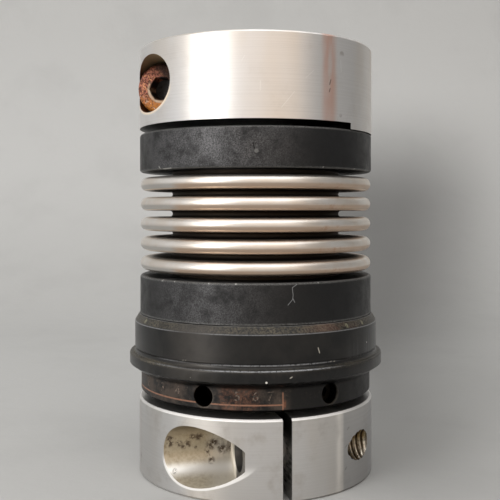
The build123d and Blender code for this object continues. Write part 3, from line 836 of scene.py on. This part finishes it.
screwLooks = {
    "pink": (0.46, 0.17, 0.11),
    "brown": (0.10, 0.035, 0.02),
    "orange": (0.58, 0.21, 0.03),
    "crumb": (0.80, 0.74, 0.64),
}


def rustyScrew():
    looks = screwLooks
    finish = Finish("rustyScrew")
    point, way = screwLine(outputScrew)
    outward = atBearing(outputScrew["bearing"], 1)
    fine = finish.noise(3.4, 3.0, 0.6)
    broad = finish.noise(0.9, 3.0, 0.6, shift=4.0)
    fromAxis = finish.fromLine(point, way)
    aside = finish.along(point, outward)
    up = finish.z - outputScrew["level"]
    colour = finish.mix(fine.rise(0.42, 0.6), looks["brown"], looks["pink"])
    lower = (up + broad * 2.0).rise(0.2, -1.4)
    colour = finish.mix(lower * fine.rise(0.3, 0.5), colour, looks["orange"])
    crumbs = finish.noise(2.0, 2.0, 0.5, shift=7.0).rise(0.62, 0.68)
    colour = finish.mix(lower * crumbs, colour, looks["crumb"])
    glint = finish.noise(2.6, 2.0, 0.5, shift=3.0).rise(0.58, 0.66) * (1 - lower)
    colour = finish.mix(glint * 0.7, colour, (0.75, 0.36, 0.17))
    shaded = (up * 0.8 - aside).rise(0.6, 2.2)
    colour = finish.mix(shaded * 0.9, colour, (0.018, 0.010, 0.007))
    # painted highlight on the outer lower side of the socket's rim
    rim = fromAxis.between(1.58, 1.95, 0.1) * (aside - up).rise(0.2, 2.0)
    colour = finish.mix(rim * 0.75, colour, (0.62, 0.50, 0.36))
    # painted shade inside the hex socket
    socket = fromAxis.rise(1.72, 1.5)
    colour = finish.mix(socket, colour, (0.010, 0.007, 0.006))
    rough = fine.rise(0.3, 0.7, 0.5, 0.8)
    metal = fine.rise(0.65, 0.45, 0.1, 0.6) * (1 - lower) * (1 - socket)
    return finish.surface(colour, rough, metallic=metal, bumps=[(fine, 0.05)])


threadLooks = {
    "major": 2.0,
    "minor": 1.65,
    "worn": 1.88,
    "pitch": 0.7,
    "start": 1.7,  # from the slit's middle plane
    "around": 144,
    "onward": 220,
    "paintedHighlight": (1.0, 0.92, 0.78),
    "gold": (0.46, 0.36, 0.20),
    "grimeAndRootShade": (0.055, 0.036, 0.020),
}


def tappedThread(hubMaterial):
    # radius follows a triangle wave of height along the hole less the turn, so that the crest is a helix
    looks = threadLooks
    point, way = screwLine(inputScrew)
    way = -way
    turn = np.linspace(0, 2 * np.pi, looks["around"], endpoint=False)[:, None]
    share = np.linspace(0, 1, looks["onward"])[None, :]
    outward = atBearing(inputScrew["bearing"], 1)

    def toSurface(radius):
        return np.sqrt(hubRadius ** 2 - (inputScrew["offset"] + radius * np.cos(turn)) ** 2)

    def threadRadius(ahead):
        # near the mouth the thread is worn down towards its middle radius
        wave = np.abs(((ahead / looks["pitch"] - turn / (2 * np.pi)) % 1.0) * 2 - 1)
        radius = looks["major"] - 0.015 - (looks["major"] - looks["minor"]) * wave
        full = np.clip((toSurface(looks["worn"]) - ahead) / looks["pitch"], 0.3, 1.0)
        return looks["worn"] + (radius - looks["worn"]) * full

    def rolled(radius, ahead):
        # (radius, turn) round the screw's axis, so far along it
        places = point + ahead[..., None] * way + (radius * np.cos(turn))[..., None] * outward
        return (places + (radius * np.sin(turn))[..., None] * upright) * millimetre

    # each line along the hole ends where it first meets the outside of the hub
    reach = np.maximum(toSurface(looks["minor"]), toSurface(looks["major"]))
    ahead = looks["start"] + (reach - looks["start"]) * share
    outside = ahead > toSurface(threadRadius(ahead)) - 0.03
    last = np.take_along_axis(ahead, outside.argmax(1)[:, None], 1)
    ahead = looks["start"] + (last - looks["start"]) * share
    radius = threadRadius(ahead)
    faces = gridFaces(looks["around"], looks["onward"], True, False)
    piece = meshPiece("tappedThread", rolled(radius, ahead), faces, 50.0)
    facesInwards(piece, point * millimetre, way)
    # the end of the thread meets the outside of the hub in a narrow flat on the hub's own cylinder
    end = radius[:, -1:]
    wide = looks["major"] + 0 * turn
    flat = np.concatenate([end, np.minimum(end + 0.03, wide), wide + 0.05, wide + 0.13], axis=1)
    lift = np.array([[-0.03, 0.014, 0.014, -0.03]])
    mouth = rolled(flat, toSurface(flat) + lift)
    mouth = meshPiece("threadMouth", mouth, gridFaces(looks["around"], flat.shape[1], True, False), 50.0)
    trueNormals(mouth, [((0, 0, 0), upright, hubRadius)])
    dress(mouth, hubMaterial)
    finish = Finish("threadMetal", Metallic=1.0)
    grimeAndRootShade = finish.noise(2.5, 3.0, 0.6)
    crest = finish.fromLine(point, way).rise(looks["major"] - 0.04, looks["minor"] + 0.08)
    # painted light: the thread is bright below the hole's middle and darker above it
    low = finish.z.rise(inputScrew["level"] + 0.7, inputScrew["level"] - 0.5)
    metal = finish.mix(low, looks["gold"], looks["paintedHighlight"])
    # painted shade in the thread's roots, broken up by grime
    colour = finish.mix(crest * grimeAndRootShade.rise(0.8, 0.4), looks["grimeAndRootShade"], metal)
    # painted shade deeper in the hole
    colour = finish.mix(finish.along(point, way).rise(6.0, 3.0), colour, (0.02, 0.016, 0.012))
    dress(piece, finish.surface(colour, 0.34))
    for part in (piece, mouth):
        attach(part, "input_hub")


def facesInwards(piece, point, way):
    # an open skin round a hole shows its inner side, so its faces are turned towards the hole's axis
    work = bmesh.new()
    work.from_mesh(piece.data)
    middle = Vector(point)
    along = Vector(way)
    wrong = 0
    for face in work.faces:
        apart = face.calc_center_median() - middle
        across = apart - along * apart.dot(along)
        wrong += 1 if across.dot(face.normal) > 0 else -1
    if wrong > 0:
        bmesh.ops.reverse_faces(work, faces=work.faces)
    work.to_mesh(piece.data)
    work.free()


def innerSteel(name, colour, roughness):
    finish = Finish(name, Metallic=1.0)
    lines = finish.noise((0.3, 0.3, 6.0), 3.0, 0.6)
    cloud = finish.noise(0.8, 3.0, 0.6, shift=5.0)
    darker = tuple(c * 0.45 for c in colour)
    shade = finish.mix(cloud.rise(0.45, 0.75) * 0.4, colour, darker)
    rough = lines.rise(0.3, 0.8, roughness - 0.05, roughness + 0.12)
    return finish.surface(shade, rough, bumps=[(lines, 0.004)])


print("materials ready")

upperHub = refined("upper_clamp_hub", "outputHub", 0.1, "output_hub", 35.0,
                   [((0, 0, 0), upright, hubRadius), (*screwLine(outputScrew), outputScrew["wide"])])
dress(upperHub, turnedAluminium("outputHubAluminium", 0.15, outputHubMarks))
lowerHub = refined("lower_clamp_hub", "inputHub", 0.1, "input_hub", 35.0,
                   [((0, 0, 0), upright, hubRadius), (*screwLine(inputScrew), inputScrew["wide"])])
dress(lowerHub, turnedAluminium("inputHubAluminium", 0.6, inputHubMarks))
tappedThread(lowerHub.data.materials[0])
screw = refined("upper_clamp_screw", "clampScrew", 0.08, "output_hub")
dress(screw, rustyScrew())
print("hubs and screw ready")

nut = refined("adjusting_nut", "adjustingNut", 0.06, "nut", 35.0, [((0, 0, 0), upright, nutRadius)])
dress(nut, burnishedNut())
nutFigures("nut")
dress(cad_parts["nut_lock_screw"], innerSteel("grubScrewSteel", (0.02, 0.016, 0.012), 0.5))
ring = refined("switch_ring", "switchingRing", 0.06, "switching_ring")
dress(ring, satinRing())
print("nut and switching ring ready")

for node, name, body, box, marks, worn in (
    ("upper_bellows_collar", "upperCollar", "output_hub", highCollar, upperCollarMarks,
     collarLooks["upperWornAndLit"]),
    ("lower_bellows_collar", "lowerCollar", "drive_side", lowCollar, lowerCollarMarks,
     collarLooks["lowerWornAndLit"]),
):
    collar = refined(node, name, 0.0, body)
    dress(collar, roughBlack(name + "Black", box, marks, worn))
bellowsSkin()
print("bellows and its rings ready")

plainSteel = innerSteel("groundSteel", (0.52, 0.52, 0.53), 0.32)
springSteel = innerSteel("springSteel", (0.30, 0.30, 0.32), 0.38)
for node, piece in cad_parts.items():
    if node.startswith(("detent_ball", "bearing", "retaining", "drive_flange", "limiter_sleeve", "thrust")):
        dress(piece, plainSteel)
    if node.startswith("disc_spring"):
        dress(piece, springSteel)

# copies of the disc springs stand in for them and ride with the spring seat
for number in ("1", "2", "3"):
    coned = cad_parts["disc_spring_" + number]
    spring = bpy.data.objects.new("discSpring" + number, coned.data.copy())
    bpy.context.scene.collection.objects.link(spring)
    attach(spring, "spring_seat")
    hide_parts("disc_spring_" + number)
    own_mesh(spring)


stageLooks = {
    "wall": (0.545, 0.548, 0.540),
    "floor": (0.48, 0.482, 0.473),
    "blot": 0.06,
    "shade": 0.68,
    "behind": 0.24,
    "bend": 0.12,
    "half": 0.9,
    "lift": 0.9,
    "paintedShadowColour": (0.02, 0.019, 0.017),
    "blotColour": (0.1, 0.1, 0.1),
}


def stageSweep():
    # a floor that curves up into a backdrop: a flat run, a quarter circle and a straight rise
    looks = stageLooks
    turn = np.radians(np.linspace(0, 90, 32))
    bendY = looks["behind"] - looks["bend"] + looks["bend"] * np.sin(turn)
    bendZ = looks["bend"] * (1 - np.cos(turn))
    y = np.concatenate([[-looks["half"]], bendY, [looks["behind"]]])
    z = np.concatenate([[0.0], bendZ, [looks["lift"]]])
    x = np.array([-looks["half"], looks["half"]])[:, None]
    points = np.stack([x + 0 * y, y + 0 * x, z + 0 * x], axis=-1)
    mesh = bpy.data.meshes.new("stage")
    mesh.from_pydata(points.reshape(-1, 3), [], gridFaces(2, len(y), False, False).reshape(-1, 4))
    mesh.polygons.foreach_set("use_smooth", np.ones(len(mesh.polygons), bool))
    stage = bpy.data.objects.new("stage", mesh)
    bpy.context.scene.collection.objects.link(stage)
    finish = Finish("stageGrey", Roughness=0.8)
    mottle = finish.noise(0.035, 4.0, 0.6)
    colour = finish.mix(finish.z.rise(0.0, 60.0), looks["floor"], looks["wall"])
    # a painted soft shadow on the floor and the backdrop, behind the object and to its right
    aside = finish.x - finish.y * 0.3  # its far edge runs to the right and back
    shade = aside.rise(54.0, -6.0) * finish.x.rise(0.0, 30.0) * finish.z.rise(90.0, 34.0)
    shade = shade * finish.y.rise(-34.0, -4.0)
    colour = finish.mix(shade * looks["shade"], colour, looks["paintedShadowColour"])
    colour = finish.mix(mottle.rise(0.45, 0.7) * looks["blot"], colour, looks["blotColour"])
    dress(stage, finish.surface(colour, bumps=[(finish.noise(0.3, 4.0), 0.1)]))


# glow is the brightness of a lamp's face, 1 being a white card in plain light
lamps = {
    "key": {"bearing": -44, "height": 0.15, "distance": 0.36, "size": (0.15, 0.34), "glow": 4.5,
            "colour": (1.0, 0.985, 0.97)},
    "side": {"bearing": -100, "height": 0.14, "distance": 0.45, "size": (0.5, 0.5), "glow": 0.35,
             "colour": (0.97, 0.98, 1.0)},
    "front": {"bearing": 15, "height": 0.12, "distance": 0.5, "size": (0.6, 0.45), "glow": 0.6,
              "colour": (1.0, 0.80, 0.63)},
    "top": {"bearing": 0, "height": 0.42, "distance": 0.12, "size": (0.6, 0.6), "glow": 1.35,
            "colour": (1.0, 0.99, 0.98)},
}


def placeLamps():
    for name, lamp in lamps.items():
        light = bpy.data.lights.new(name, "AREA")
        light.shape = "RECTANGLE"
        light.size, light.size_y = lamp["size"]
        light.energy = lamp["glow"] * np.pi * lamp["size"][0] * lamp["size"][1]
        light.color = lamp["colour"]
        spot = bpy.data.objects.new(name, light)
        bpy.context.scene.collection.objects.link(spot)
        where = atBearing(lamp["bearing"], lamp["distance"], lamp["height"])
        spot.location = where
        aim = Vector((0, 0, 0.03)) - Vector(where)
        spot.rotation_mode = "QUATERNION"
        spot.rotation_quaternion = aim.to_track_quat("-Z", "Y")
    world = bpy.data.worlds.new("studio")
    world.use_nodes = True
    background = next(n for n in world.node_tree.nodes if n.type == "BACKGROUND")
    background.inputs["Color"].default_value = (1.0, 0.98, 0.96, 1.0)
    background.inputs["Strength"].default_value = 0.3
    bpy.context.scene.world = world


cameraPlace = {"distance": 0.1126, "height": 0.0354, "lens": 58.1, "shiftX": -0.011, "shiftY": -0.082}


def placeCamera():
    data = bpy.data.cameras.new("camera")
    data.sensor_width = 36.0
    data.lens = cameraPlace["lens"]
    data.shift_x = cameraPlace["shiftX"]
    data.shift_y = cameraPlace["shiftY"]
    data.clip_start = 0.005
    data.clip_end = 10.0
    camera = bpy.data.objects.new("camera", data)
    bpy.context.scene.collection.objects.link(camera)
    camera.location = (0.0, -cameraPlace["distance"], cameraPlace["height"])
    camera.rotation_euler = (np.pi / 2, 0.0, 0.0)
    bpy.context.scene.camera = camera


stageSweep()
placeLamps()
placeCamera()
bpy.context.scene.view_settings.view_transform = "Standard"
print("stage, lamps and camera ready")

bpy.context.view_layer.update()
